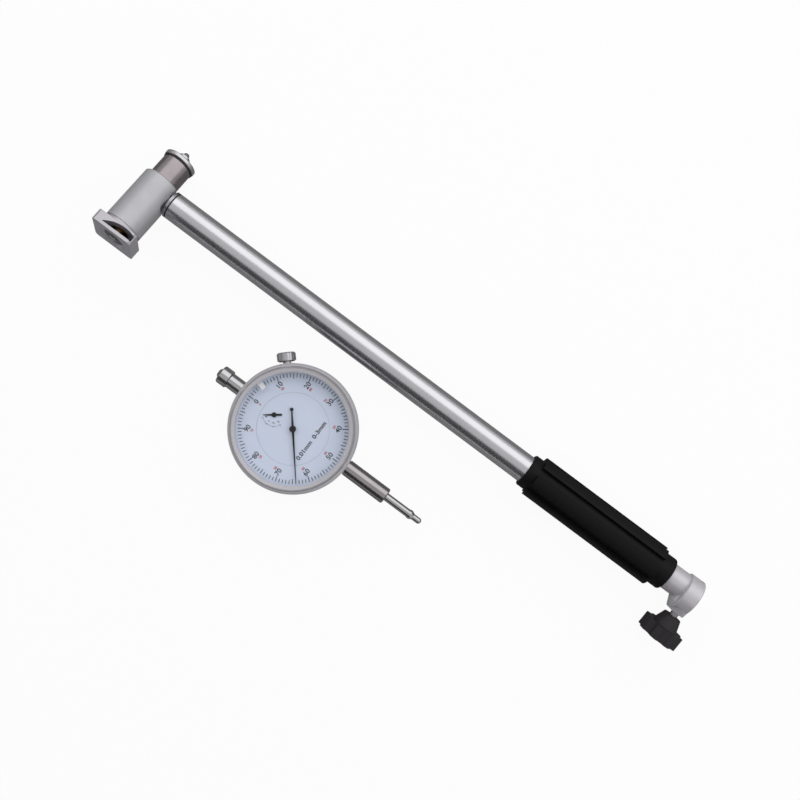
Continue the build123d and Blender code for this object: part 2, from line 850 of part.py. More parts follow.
with BuildPart() as back_cover:
    with BuildSketch(dial_level(0)):
        Circle(case_radius)
    extrude(amount=cover_thickness)
    chamfer(back_cover.edges().sort_by(Axis.Z)[0], cover_edge)
    with BuildSketch(dial_level(cover_thickness)):
        Circle(case_bore_radius)
        Circle(case_bore_radius - case_wall / 2, mode=Mode.SUBTRACT)
    extrude(amount=cover_spigot)
    with Locations(dial_level(0).rotated((180, 0, 0))):
        with PolarLocations(cover_screw_place, 4, start_angle=45):
            CounterSinkHole(cover_screw_radius, cover_screw_head_radius)

cover_screw_end = cover_thickness + cover_screw_length
with BuildPart() as back_cover_screws:
    with BuildSketch(dial_level(0)):
        with PolarLocations(cover_screw_place, 4, start_angle=45):
            Circle(cover_screw_radius)
    extrude(amount=cover_screw_end)
    with BuildSketch(dial_level(cover_screw_sink)):
        with PolarLocations(cover_screw_place, 4, start_angle=45):
            Circle(cover_screw_head_radius - cover_screw_sink)
    extrude(amount=cover_screw_head_radius - cover_screw_sink - cover_screw_radius, taper=45)

# Bezel: a low rim for the fingers, a rounded shoulder, and grooves for the dial ring and the crystal
crystal_bottom = crystal_top - crystal_thickness
dial_ring_top = case_front + face_gap + face_thickness
bezel_slide_radius = case_radius + slide_gap
with BuildPart() as bezel:
    with BuildSketch(dial_section):
        with BuildLine():
            Polyline(
                (bezel_top_radius, bezel_top),
                (bezel_lip_radius, bezel_top - bezel_edge),
                (bezel_lip_radius, crystal_top),
                (crystal_radius, crystal_top),
                (crystal_radius, crystal_bottom),
                (bezel_bore_radius, crystal_bottom),
                (bezel_bore_radius, dial_ring_top),
                (bezel_slide_radius, dial_ring_top),
                (bezel_slide_radius, bezel_bottom),
                (bezel_radius - bezel_edge, bezel_bottom),
                (bezel_radius, bezel_bottom + bezel_edge),
                (bezel_radius, bezel_rim_top - bezel_edge),
                (bezel_radius - bezel_edge, bezel_rim_top),
                (bezel_shoulder_radius, bezel_rim_top),
                (bezel_shoulder_radius, bezel_shoulder),
            )
            RadiusArc(
                (bezel_shoulder_radius, bezel_shoulder), (bezel_top_radius, bezel_top), -bezel_round
            )
        make_face()
    revolve(axis=dial_axis)
    # Groove round the top, between the shoulder and the lip
    with BuildSketch(dial_level(bezel_top - bezel_groove_depth)):
        Circle(bezel_radius - bezel_groove_inset + bezel_groove_width / 2)
        Circle(bezel_radius - bezel_groove_inset - bezel_groove_width / 2, mode=Mode.SUBTRACT)
    extrude(amount=bezel_groove_depth, mode=Mode.SUBTRACT)

# Shoe under the bezel's rim, and the thumb screw that draws it against the rim
shoe_end = case_radius + shoe_thickness
with BuildPart() as bezel_lock_shoe:
    with BuildSketch(lock_plane(case_radius - shoe_thickness)):
        with Locations((0, bezel_bottom - face_gap - lock_height - shoe_height / 2)):
            Rectangle(shoe_width, shoe_height)
    extrude(amount=2 * shoe_thickness)
    with BuildSketch(dial_level(0)):
        Circle(case_radius)
    extrude(amount=case_front, mode=Mode.SUBTRACT)
    with BuildSketch(lock_plane(0)):
        Circle(lock_thread_radius + thread_gap)
    extrude(amount=shoe_end + cut_over, mode=Mode.SUBTRACT)

head_start = shoe_end + lock_neck_length
with BuildPart() as bezel_lock_screw:
    with BuildSketch(lock_plane(case_bore_radius)):
        Circle(lock_thread_radius)
    extrude(amount=shoe_end - case_bore_radius)
    with BuildSketch(lock_plane(shoe_end)):
        Circle(lock_neck_radius)
    extrude(amount=head_start - shoe_end)
    with BuildSketch(lock_plane(head_start)):
        Circle(lock_head_radius)
    extrude(amount=lock_head_height)
    rims = bezel_lock_screw.edges().filter_by(GeomType.CIRCLE)
    chamfer(rims.filter_by(lambda e: e.radius > lock_neck_radius + bezel_edge), bezel_edge)

with BuildPart() as dial_ring:
    with BuildSketch(dial_level(case_front + face_gap)):
        Circle(bezel_slide_radius)
        Circle(face_parting_radius + face_gap / 2, mode=Mode.SUBTRACT)
    extrude(amount=face_thickness)

with BuildPart() as dial_centre_disc:
    with BuildSketch(dial_level(case_front)):
        Circle(face_parting_radius - face_gap / 2)
        Circle(arbor_hole_radius, mode=Mode.SUBTRACT)
        with Locations((-gear_distance, 0)):
            Circle(arbor_radius + slide_gap, mode=Mode.SUBTRACT)
    extrude(amount=face_gap + face_thickness)

with BuildPart() as crystal:
    with BuildSketch(dial_level(crystal_bottom)):
        Circle(crystal_radius)
    extrude(amount=crystal_thickness)

# White limit marker: a small tab that hangs from the bezel's bore under the crystal
marker_start = marker_angle - marker_half_angle
with BuildPart() as limit_marker:
    with BuildSketch(dial_level(crystal_bottom - marker_gap - marker_thickness)):
        with BuildLine():
            outer = CenterArc((0, 0), bezel_bore_radius - slide_gap, marker_start, 2 * marker_half_angle)
            inner = CenterArc((0, 0), marker_inner_radius, marker_start, 2 * marker_half_angle)
            Line(outer @ 0, inner @ 0)
            Line(outer @ 1, inner @ 1)
        make_face()
    extrude(amount=marker_thickness)

# Stems and cap
with BuildPart() as stem:
    # Root, turned down where it passes under the bezel and into the case
    with BuildSketch(across_stem(case_bore_radius)):
        Circle(stem_root_radius)
    extrude(amount=stem_root_end - case_bore_radius)
    with BuildSketch(across_stem(stem_root_end)):
        Circle(stem_radius)
    extrude(amount=stem_end - stem_root_end)
    with BuildSketch(across_stem(case_bore_radius)):
        Circle(spindle_radius + slide_gap)
    extrude(amount=stem_end - case_bore_radius, mode=Mode.SUBTRACT)
    chamfer(stem.edges().group_by(Axis.X)[-1].sort_by(SortBy.RADIUS)[-1], cover_edge)

thread_end = upper_stem_end + cap_length / 2
with BuildPart() as upper_stem:
    with BuildSketch(stem_section):
        with BuildLine():
            Polyline(
                (-case_bore_radius, spindle_radius + slide_gap),
                (-case_bore_radius, upper_stem_radius),
                (-upper_stem_end, upper_stem_radius),
                (-upper_stem_end, cap_step_radius),
                (-thread_end, cap_step_radius),
                (-thread_end, spindle_radius + slide_gap),
                close=True,
            )
        make_face()
    revolve(axis=stem_axis)

cap_end = upper_stem_end + cap_length
with BuildPart() as spindle_cap:
    with BuildSketch(stem_section):
        with BuildLine():
            Polyline(
                (-upper_stem_end, cap_step_radius),
                (-upper_stem_end, cap_radius - cover_edge),
                (-upper_stem_end - cover_edge, cap_radius),
                (-cap_end + cover_edge, cap_radius),
                (-cap_end, cap_radius - cover_edge),
                (-cap_end, cap_step_radius),
                (-cap_end - cap_step_height, cap_step_radius - cap_step_height),
                (-cap_end - cap_step_height, 0),
                (-cap_end + cap_step_height, 0),
                (-cap_end + cap_step_height, cap_step_radius),
                close=True,
            )
        make_face()
    revolve(axis=stem_axis)

# Spindle with its rack, its guide pin and the collar that the return spring presses on
rack_gaps = range(-2, rack_teeth - 2)
with BuildPart() as spindle:
    with BuildSketch(across_stem(-spindle_tail)):
        Circle(spindle_radius)
    extrude(amount=spindle_tail + spindle_end)
    with BuildSketch(across_stem(spindle_collar_place - spindle_collar_width)):
        Circle(spindle_collar_radius)
    extrude(amount=spindle_collar_width)
    # Flat along the rack, then the gaps between its teeth
    flat_start = arbor_along + (rack_gaps[0] - 1) * rack_pitch
    flat_end = arbor_along + (rack_gaps[-1] + 1) * rack_pitch
    flat_depth = spindle_radius + rack_line - rack_addendum
    with BuildSketch(stem_section.offset(-spindle_radius)):
        with Locations(((flat_start + flat_end) / 2, -spindle_radius + flat_depth / 2)):
            Rectangle(flat_end - flat_start, flat_depth)
        with Locations(*[(arbor_along + gap * rack_pitch, rack_line) for gap in rack_gaps]):
            Rectangle(rack_pitch * (1 - tooth_fraction), rack_tooth_depth)
    extrude(amount=2 * spindle_radius, mode=Mode.SUBTRACT)
    # Cross hole of the guide pin and tapped hole of the contact point
    with BuildSketch(dial_level(stem_height - spindle_radius, guide_slot_place)):
        Circle(guide_slot_pin_radius)
    extrude(amount=spindle_radius, mode=Mode.SUBTRACT)
    with BuildSketch(across_stem(spindle_end - point_screw_length)):
        Circle(point_screw_radius)
    extrude(amount=point_screw_length, mode=Mode.SUBTRACT)

with BuildPart() as spindle_guide_pin:
    with BuildSketch(dial_level(movement_bottom, guide_slot_place)):
        Circle(guide_slot_pin_radius)
    extrude(amount=stem_height - movement_bottom)

with BuildPart() as contact_point:
    with BuildSketch(stem_section):
        with BuildLine():
            Polyline(
                (point_end - point_radius, point_radius),
                (spindle_end + point_collar_width + point_radius, point_radius),
                (spindle_end + point_collar_width, point_collar_radius),
                (spindle_end, point_collar_radius),
                (spindle_end, point_screw_radius),
                (spindle_end - point_screw_length, point_screw_radius),
                (spindle_end - point_screw_length, 0),
                (point_end, 0),
            )
            RadiusArc((point_end, 0), (point_end - point_radius, point_radius), -point_radius)
        make_face()
    revolve(axis=stem_axis)

return_start = dial_centre + Vector(spindle_collar_place - spindle_collar_width, 0, stem_height)
with BuildPart() as return_spring:
    wind(
        return_start, along * -1, case_bore_radius + spindle_collar_place - spindle_collar_width,
        return_coil_radius, return_wire_radius, return_coil_turns,
    )

# Movement: two plates on pillars, with the gear train between them and the case's front wall
with BuildPart() as movement_top_plate:
    with BuildSketch(dial_level(movement_top)):
        RectangleRounded(movement_plate_length, movement_plate_width, movement_plate_corner)
        with Locations(*pillar_places):
            Circle(movement_screw_radius, mode=Mode.SUBTRACT)
        with Locations((0, 0), (-gear_distance, 0), (arbor_along, -arbor_aside)):
            Circle(arbor_radius + slide_gap, mode=Mode.SUBTRACT)
    extrude(amount=movement_plate_thickness)

with BuildPart() as movement_bottom_plate:
    with BuildSketch(dial_level(movement_bottom)):
        RectangleRounded(movement_plate_length, movement_plate_width, movement_plate_corner)
        with Locations(*pillar_places):
            Circle(movement_screw_radius, mode=Mode.SUBTRACT)
        with Locations((arbor_along, -arbor_aside)):
            Circle(arbor_radius + slide_gap, mode=Mode.SUBTRACT)
        # Slot that keeps the spindle from turning
        with Locations((guide_slot_place - spindle_travel / 2, 0)):
            SlotCenterToCenter(
                spindle_travel + 2 * slide_gap, 2 * (guide_slot_pin_radius + slide_gap), mode=Mode.SUBTRACT
            )
    extrude(amount=movement_plate_thickness)

with BuildPart() as movement_pillars:
    with BuildSketch(dial_level(movement_bottom + movement_plate_thickness)):
        with Locations(*pillar_places):
            Circle(pillar_radius)
            Circle(movement_screw_radius, mode=Mode.SUBTRACT)
    extrude(amount=movement_top - movement_bottom - movement_plate_thickness)

with BuildPart() as movement_screws:
    with BuildSketch(dial_level(movement_bottom - movement_screw_head_height)):
        with Locations(*pillar_places):
            Circle(movement_screw_head_radius)
    extrude(amount=movement_screw_head_height)
    with BuildSketch(dial_level(movement_bottom)):
        with Locations(*pillar_places):
            Circle(movement_screw_radius)
    extrude(amount=front_wall_level - movement_bottom)


def gear_outline(teeth, phase):
    """Gear with straight flanks, one of its teeth at this angle in degrees, in the sketch being made."""
    pitch_radius = gear_module * teeth / 2
    tip_radius = pitch_radius + gear_addendum
    root_radius = pitch_radius - gear_dedendum
    half_root = tooth_root_fraction * pi / teeth
    half_tip = tooth_tip_fraction * pi / teeth
    corners = []
    for tooth in range(teeth):
        middle = radians(phase) + tooth * 2 * pi / teeth
        for radius, offset in (
            (root_radius, -half_root), (tip_radius, -half_tip),
            (tip_radius, half_tip), (root_radius, half_root),
        ):
            corners.append((radius * cos(middle + offset), radius * sin(middle + offset)))
    with BuildLine() as flanks:
        Polyline(*corners, close=True)
    make_face(flanks.line.edges())


def meshing_phase(teeth, towards, partner_teeth, partner_phase):
    """Angle of a tooth of the gear that meshes with a partner seen from it in this direction."""
    return towards + 180 + (180 - partner_teeth * (partner_phase - towards)) / teeth


centre_phase = 0
transfer_direction = degrees(atan2(-arbor_aside, arbor_along))
transfer_phase = meshing_phase(gear_teeth, transfer_direction, pinion_teeth, centre_phase)
take_up_phase = meshing_phase(gear_teeth, 180, pinion_teeth, centre_phase)

# Centre pinion on the main hand's arbor
with BuildPart() as centre_pinion:
    with BuildSketch(dial_level(gear_level - plate_gap)):
        gear_outline(pinion_teeth, centre_phase)
    extrude(amount=gear_thickness + 2 * plate_gap)
    with BuildSketch(dial_level(movement_top)):
        Circle(arbor_radius)
    extrude(amount=hand_level + hand_hub_height - hub_lid - movement_top)

# Transfer gear and the rack's pinion on one arbor
with BuildPart() as transfer_gear:
    with BuildSketch(dial_level(gear_level, arbor_along, -arbor_aside)):
        gear_outline(gear_teeth, transfer_phase)
    extrude(amount=gear_thickness)
    with BuildSketch(dial_level(stem_height - rack_pinion_height / 2, arbor_along, -arbor_aside)):
        gear_outline(rack_pinion_teeth, 90)
    extrude(amount=rack_pinion_height)
    with BuildSketch(dial_level(movement_bottom, arbor_along, -arbor_aside)):
        Circle(arbor_radius)
    extrude(amount=front_wall_level - plate_gap - movement_bottom)

# Take-up gear, which carries the small hand
with BuildPart() as take_up_gear:
    with BuildSketch(dial_level(gear_level, -gear_distance)):
        gear_outline(gear_teeth, take_up_phase)
    extrude(amount=gear_thickness)
    with BuildSketch(dial_level(movement_top, -gear_distance)):
        Circle(arbor_radius)
    extrude(amount=small_hand_level - movement_top)

# Hairspring: a flat spiral of half circles about the take-up arbor
hairspring_level = gear_level + gear_thickness + plate_gap
with BuildPart() as hairspring:
    with BuildSketch(dial_level(hairspring_level, -gear_distance)):
        with BuildLine() as spiral:
            step = (hairspring_outer - hairspring_inner) / (2 * hairspring_turns)
            for half_turn in range(2 * hairspring_turns):
                side = 1 if half_turn % 2 == 0 else -1
                near = hairspring_inner + half_turn * step
                far = near + step
                bulge = (-side * step / 2, side * (near + far) / 2)
                ThreePointArc((side * near, 0), bulge, (-side * far, 0))
        trace(spiral.line.edges(), line_width=hairspring_strip)
    extrude(amount=gear_thickness)

# Hands
hand_angle = 180 - hand_reading * 3.6
with BuildPart() as main_hand:
    with BuildSketch(dial_level(hand_level).rotated((0, 0, hand_angle))):
        Circle(hand_hub_radius)
        with BuildLine():
            Polyline(
                (-hand_tail, hand_tip_width), (0, hand_width / 2), (hand_length, hand_tip_width / 2),
                (hand_length, -hand_tip_width / 2), (0, -hand_width / 2), (-hand_tail, -hand_tip_width),
                close=True,
            )
        make_face()
        with Locations((-hand_tail, 0)):
            Circle(hand_tail_blob_radius)
        Circle(arbor_radius, mode=Mode.SUBTRACT)
    extrude(amount=hand_thickness)
    with BuildSketch(dial_level(hand_level)):
        Circle(hand_hub_radius)
        Circle(arbor_radius, mode=Mode.SUBTRACT)
    extrude(amount=hand_hub_height)
    with BuildSketch(dial_level(hand_level + hand_hub_height - hub_lid)):
        Circle(arbor_radius)
    extrude(amount=hub_lid)

with BuildPart() as small_hand:
    with BuildSketch(dial_level(small_hand_level, -gear_distance).rotated((0, 0, 180 + small_hand_angle))):
        Circle(small_hand_hub_radius)
        with BuildLine():
            Polyline(
                (-small_hand_tail, small_hand_width / 2), (0, small_hand_width / 2),
                (small_hand_length, hand_tip_width / 2), (small_hand_length, -hand_tip_width / 2),
                (0, -small_hand_width / 2), (-small_hand_tail, -small_hand_width / 2), close=True,
            )
        make_face()
    extrude(amount=hand_thickness)

# Every piece under its own name
pieces = {
    "head_barrel": head_barrel,
    "anvil_sleeve": anvil_sleeve,
    "anvil_seal": anvil_seal,
    "anvil_lock_nut": anvil_lock_nut,
    "fixed_anvil": fixed_anvil,
    "anvil_tip": anvil_tip,
    "centring_bridge": centring_bridge,
    "bridge_guide_pin": bridge_guide_pin,
    "bridge_spring": bridge_spring,
    "contact_bush": contact_bush,
    "contact_plunger": contact_plunger,
    "contact_tip": contact_tip,
    "bell_crank": bell_crank,
    "lever_pin": lever_pin,
    "neck_collar": neck_collar,
    "neck_seal": neck_seal,
    "tube": tube,
    "push_rod": push_rod,
    "rod_guides": rod_guides,
    "rod_spring": rod_spring,
    "grip": grip,
    "indicator_socket": indicator_socket,
    "clamp_pad": clamp_pad,
    "clamp_screw": clamp_screw,
    "clamp_knob": clamp_knob,
    "dial_case": dial_case,
    "back_cover": back_cover,
    "back_cover_screws": back_cover_screws,
    "bezel": bezel,
    "bezel_lock_shoe": bezel_lock_shoe,
    "bezel_lock_screw": bezel_lock_screw,
    "dial_ring": dial_ring,
    "dial_centre_disc": dial_centre_disc,
    "crystal": crystal,
    "limit_marker": limit_marker,
    "stem": stem,
    "upper_stem": upper_stem,
    "spindle_cap": spindle_cap,
    "spindle": spindle,
    "spindle_guide_pin": spindle_guide_pin,
    "contact_point": contact_point,
    "return_spring": return_spring,
    "movement_top_plate": movement_top_plate,
    "movement_bottom_plate": movement_bottom_plate,
    "movement_pillars": movement_pillars,
    "movement_screws": movement_screws,
    "centre_pinion": centre_pinion,
    "transfer_gear": transfer_gear,
    "take_up_gear": take_up_gear,
    "hairspring": hairspring,
    "main_hand": main_hand,
    "small_hand": small_hand,
}
for name, piece in pieces.items():
    piece.part.label = name
    export_step(piece.part, f"parts/{name}.step")
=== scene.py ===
"""Dial bore gauge, with its dial indicator taken off and laid beside the tube."""
import math

import bpy
from mathutils import Matrix, Vector


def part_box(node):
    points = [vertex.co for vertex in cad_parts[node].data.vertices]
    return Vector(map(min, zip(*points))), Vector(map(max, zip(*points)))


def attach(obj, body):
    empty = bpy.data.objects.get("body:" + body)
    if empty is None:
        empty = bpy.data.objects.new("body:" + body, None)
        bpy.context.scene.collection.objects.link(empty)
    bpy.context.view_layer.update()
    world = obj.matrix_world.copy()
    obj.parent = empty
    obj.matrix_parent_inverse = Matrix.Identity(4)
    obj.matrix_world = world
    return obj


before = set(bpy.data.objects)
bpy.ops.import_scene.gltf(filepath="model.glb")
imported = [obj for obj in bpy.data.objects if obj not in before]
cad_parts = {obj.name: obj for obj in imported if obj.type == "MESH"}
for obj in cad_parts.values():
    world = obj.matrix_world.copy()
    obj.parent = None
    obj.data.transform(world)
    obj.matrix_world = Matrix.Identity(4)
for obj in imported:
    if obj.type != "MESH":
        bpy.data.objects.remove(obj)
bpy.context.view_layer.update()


# Measuring head
#
# A turned steel barrel, bead-blasted and chromed to an even pale grey. The anvil sleeve is pressed in
# at one end and ground, so it is darker and shows its grinding; the bridge slides in the other end.
MM = 0.001
# Noise lies mostly between these two values
noise_span = {"From Min": 0.3, "From Max": 0.7}
# Metals change tone in soft clouds of this size
cloud_mm = 9.0


def linear(hex_colour):
    """Linear RGBA of an sRGB colour written as hex."""
    parts = [int(hex_colour[i:i + 2], 16) / 255 for i in (1, 3, 5)]
    return tuple(p / 12.92 if p <= 0.04045 else ((p + 0.055) / 1.055) ** 2.4 for p in parts) + (1.0,)


def add(material, kind, settings=(), links=()):
    """One node with its settings and links. A socket goes by its name, or its number where names repeat."""
    node = material.node_tree.nodes.new(kind)
    for name, value in dict(settings).items():
        if isinstance(name, int) or name in node.inputs:
            node.inputs[name].default_value = value
        else:
            setattr(node, name, value)
    for socket, (source, output) in dict(links).items():
        material.node_tree.links.new(source.outputs[output], node.inputs[socket])
    return node


def start_material(name):
    """New material, and its shader."""
    material = bpy.data.materials.new(name)
    material.use_nodes = True
    return material, material.node_tree.nodes["Principled BSDF"]


def feed(material, shader, socket, node, output):
    """Links a node to a socket of a shader that is there already."""
    material.node_tree.links.new(node.outputs[output], shader.inputs[socket])


def grain(material, size_mm, stretch=(1, 1, 1), detail=3.0, turn=(0, 0, 0)):
    """Noise on object coordinates with grains of this size, drawn out along the axes with small stretch."""
    place = add(material, "ShaderNodeTexCoord")
    scale = tuple(s / (size_mm * MM) for s in stretch)
    turned = add(material, "ShaderNodeMapping", {"Rotation": turn}, {"Vector": (place, "Object")})
    spread = add(material, "ShaderNodeMapping", {"Scale": scale}, {"Vector": (turned, "Vector")})
    return add(material, "ShaderNodeTexNoise", {"Scale": 1.0, "Detail": detail},
               {"Vector": (spread, "Vector")})


def metal(name, colour, dark_colour, rough, spread, size_mm, stretch=(1, 1, 1), bump_mm=0.004,
          turn=(0, 0, 0), metallic=1.0):
    """Metal with two close tones in soft clouds, and one grain for its uneven roughness and fine relief."""
    material, shader = start_material(name)
    pattern = grain(material, size_mm, stretch, turn=turn)
    clouds = grain(material, cloud_mm, detail=2.0)
    share = add(material, "ShaderNodeMapRange", {**noise_span, "To Min": 0.25, "To Max": 1.0},
                {"Value": (clouds, "Fac")})
    tone = add(material, "ShaderNodeMix",
               {"data_type": "RGBA", "A": linear(dark_colour), "B": linear(colour)},
               {"Factor": (share, "Result")})
    feed(material, shader, "Base Color", tone, "Result")
    uneven = add(material, "ShaderNodeMapRange",
                 {**noise_span, "To Min": rough - spread, "To Max": rough + spread},
                 {"Value": (pattern, "Fac")})
    feed(material, shader, "Roughness", uneven, "Result")
    relief = add(material, "ShaderNodeBump", {"Strength": 1.0, "Distance": bump_mm * MM},
                 {"Height": (pattern, "Fac")})
    feed(material, shader, "Normal", relief, "Normal")
    shader.inputs["Metallic"].default_value = metallic
    return material


def dress(material, *nodes):
    """Puts a material on CAD nodes in place of their plain one."""
    for name in nodes:
        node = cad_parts[name]
        node.data.materials.clear()
        node.data.materials.append(material)


head_roll = math.radians(17)
# Bead-blasted chrome on steel: a soft even grey, with a grain of 0.35 mm, coarser than the real 0.1 mm
# so that it shows. The skin scatters part of the light as paint does, so its shaded sides stay pale.
blasted_chrome = metal("bead_blasted_chrome_on_steel", "#BEBEC2", "#B6B6BA", 0.44, 0.04, 0.35,
                       bump_mm=0.005, metallic=0.65)
# The bridge has the same skin, worn a little smoother
worn_chrome = metal("worn_blasted_chrome", "#C2BFC5", "#BAB7BD", 0.4, 0.05, 0.35,
                    bump_mm=0.006, metallic=0.65)
# Ground steel: scratches run round the sleeve, 0.2 mm apart along it
ground_steel = metal("ground_steel", "#A9A1A4", "#9A9296", 0.27, 0.06, 0.2, (0.05, 1, 0.05), 0.0015,
                     (-head_roll, 0, 0))
# Hardened and polished steel: bright, with sharp reflections
hard_steel = metal("polished_hard_steel", "#CBCACC", "#BFBEC1", 0.15, 0.04, 0.3, bump_mm=0.001)
# Hard metal: as smooth as the steel and clearly darker
hard_tip = metal("hard_metal_tip", "#8B8B90", "#7E7E84", 0.16, 0.03, 0.3, bump_mm=0.001)
# Turned brass: a warm yellow, browner in patches, with fine streaks
turned_brass = metal("turned_brass", "#B8924E", "#8C6A34", 0.3, 0.08, 0.25, (1, 0.2, 1), 0.004)
# Oiled bronze: brown and nearly black in its shadows
oiled_bronze = metal("oiled_bronze", "#7A5530", "#3E2A1C", 0.3, 0.08, 0.6, bump_mm=0.004)
# Drawn wire: a dull middle grey
drawn_wire = metal("drawn_spring_wire", "#8D8D92", "#77777D", 0.32, 0.05, 0.2, bump_mm=0.002)

# Round the contact the bridge has a turned dish. Inside its edge the skin's colour gives way to a dark grey,
# #6E6B71, which is painted shade for the recess.
dish_edge, dish_blur = 5.3, 0.3
tip_low, tip_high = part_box("contact_tip")
contact_line = (0, math.cos(head_roll), -math.sin(head_roll))
place = add(worn_chrome, "ShaderNodeTexCoord")
from_tip = add(worn_chrome, "ShaderNodeVectorMath", {"operation": "SUBTRACT", 1: (tip_low + tip_high) / 2},
               {0: (place, "Object")})
aside = add(worn_chrome, "ShaderNodeVectorMath", {"operation": "CROSS_PRODUCT", 1: contact_line},
            {0: (from_tip, "Vector")})
from_line = add(worn_chrome, "ShaderNodeVectorMath", {"operation": "LENGTH"}, {0: (aside, "Vector")})
outside = add(worn_chrome, "ShaderNodeMapRange",
              {"From Min": (dish_edge - dish_blur) * MM, "From Max": dish_edge * MM},
              {"Value": (from_line, "Value")})
shader = worn_chrome.node_tree.nodes["Principled BSDF"]
skin_tone = shader.inputs["Base Color"].links[0].from_node
# Painted shade: the dish is coloured dark grey in place of the skin's tones, fading out over the blur at its
# edge
painted_dish_shade = add(worn_chrome, "ShaderNodeMix", {"data_type": "RGBA", "A": linear("#6E6B71")},
                {"Factor": (outside, "Result"), "B": (skin_tone, "Result")})
feed(worn_chrome, shader, "Base Color", painted_dish_shade, "Result")

dress(blasted_chrome, "head_barrel")
dress(worn_chrome, "centring_bridge")
dress(ground_steel, "anvil_sleeve")
dress(hard_steel, "fixed_anvil", "contact_plunger", "contact_tip", "bridge_guide_pin", "lever_pin", "push_rod",
      "bell_crank")
dress(hard_tip, "anvil_tip")
dress(oiled_bronze, "contact_bush")
dress(turned_brass, "rod_guides")
dress(drawn_wire, "bridge_spring", "rod_spring")

# Seals
#
# Two thin rings of nitrile rubber, squeezed between the metal parts. They are black, dull and a little
# uneven in their sheen.
rubber, shader = start_material("nitrile_rubber")
shader.inputs["Base Color"].default_value = linear("#1B1A1B")
uneven = add(rubber, "ShaderNodeMapRange", {**noise_span, "To Min": 0.6, "To Max": 0.8},
             {"Value": (grain(rubber, 0.3), "Fac")})
feed(rubber, shader, "Roughness", uneven, "Result")
dress(rubber, "anvil_seal", "neck_seal")

# Tube and its neck collar
#
# Drawn steel tube, centreless ground and satin chromed. Its fine grinding runs round it, so a lamp
# spreads into a long band along it. The collar is turned and left plain, so it is a little darker.
satin_tube = metal("satin_chromed_steel_tube", "#DEDEE2", "#D8D8DC", 0.26, 0.02, 0.25,
                   (1, 0.04, 0.04), 0.0006)
turned_collar = metal("turned_steel_collar", "#BDBDC1", "#A8A8AD", 0.28, 0.05, 0.2, (1, 0.05, 0.05), 0.002)
dress(satin_tube, "tube")
dress(turned_collar, "neck_collar")

# Grip
#
# Moulded black polypropylene, pressed on the tube. Its fine spark texture breaks up the highlights.
moulded_grip, shader = start_material("moulded_black_polypropylene")
shader.inputs["Base Color"].default_value = linear("#0C0A0C")
shader.inputs["Specular IOR Level"].default_value = 0.2
spark = grain(moulded_grip, 0.35, detail=4.0)
uneven = add(moulded_grip, "ShaderNodeMapRange", {**noise_span, "To Min": 0.5, "To Max": 0.62},
             {"Value": (spark, "Fac")})
feed(moulded_grip, shader, "Roughness", uneven, "Result")
relief = add(moulded_grip, "ShaderNodeBump", {"Strength": 1.0, "Distance": 0.02 * MM},
             {"Height": (spark, "Fac")})
feed(moulded_grip, shader, "Normal", relief, "Normal")
dress(moulded_grip, "grip")

# Indicator socket
#
# Aluminium, turned off centre and blasted to a pale soft grey. Like the head's skin it scatters part of
# the light as paint does. The pad that the clamp screw pushes is brass.
blasted_aluminium = metal("blasted_aluminium", "#CBC8CD", "#C4C1C6", 0.42, 0.04, 0.3,
                          bump_mm=0.005, metallic=0.5)
dress(blasted_aluminium, "indicator_socket")
dress(turned_brass, "clamp_pad")

# Clamp knob and its screw
#
# A glass-filled nylon knob moulded on a steel screw. The nylon has a coarse matt skin, greyer than the
# grip.
moulded_knob, shader = start_material("moulded_black_nylon")
shader.inputs["Base Color"].default_value = linear("#262226")
shader.inputs["Specular IOR Level"].default_value = 0.35
skin = grain(moulded_knob, 0.4, detail=5.0)
uneven = add(moulded_knob, "ShaderNodeMapRange", {**noise_span, "To Min": 0.52, "To Max": 0.66},
             {"Value": (skin, "Fac")})
feed(moulded_knob, shader, "Roughness", uneven, "Result")
relief = add(moulded_knob, "ShaderNodeBump", {"Strength": 1.0, "Distance": 0.012 * MM},
             {"Height": (skin, "Fac")})
feed(moulded_knob, shader, "Normal", relief, "Normal")
dress(moulded_knob, "clamp_knob")
dress(ground_steel, "clamp_screw")

# Indicator case, cover and stems
#
# A die-cast case with a steel back cover held by four screws, and two steel stems pressed in: the lower
# one is ground and the upper one polished.
# Silver paint with metal flakes: a dull grey that shines softly
case_metal = metal("painted_die_cast_case", "#9C9C9E", "#8F8F92", 0.5, 0.06, 0.6, bump_mm=0.01)
# Ground stem: nearly a mirror, with faint lines round it
ground_stem = metal("ground_stem_steel", "#B4AFB1", "#A8A3A6", 0.16, 0.03, 0.2, (1, 0.05, 0.05), 0.0008)
# Blued screws: dark, with a cold tint
blued_steel = metal("blued_screw_steel", "#565A66", "#484C58", 0.3, 0.05, 0.3, bump_mm=0.002)
dress(case_metal, "dial_case", "back_cover")
dress(blued_steel, "back_cover_screws", "movement_screws")
dress(ground_stem, "stem")
dress(hard_steel, "upper_stem", "spindle_cap", "spindle", "spindle_guide_pin", "contact_point")

# Movement
#
# Brass plates, pillars and gears inside the case, with steel springs.
dress(turned_brass, "movement_top_plate", "movement_bottom_plate", "movement_pillars", "centre_pinion",
      "transfer_gear", "take_up_gear")
dress(drawn_wire, "return_spring", "hairspring")

# Bezel and its lock screw
#
# Turned brass with satin chrome: turning lines run round the dial. The rim and the screw's head are
# knurled straight, so that fingers can turn them.
dial_low, dial_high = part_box("bezel")
dial_x, dial_y = (dial_low.x + dial_high.x) / 2, (dial_low.y + dial_high.y) / 2
# Far coarser than the real feed of the tool, so that the lines show
turning_line = 0.3

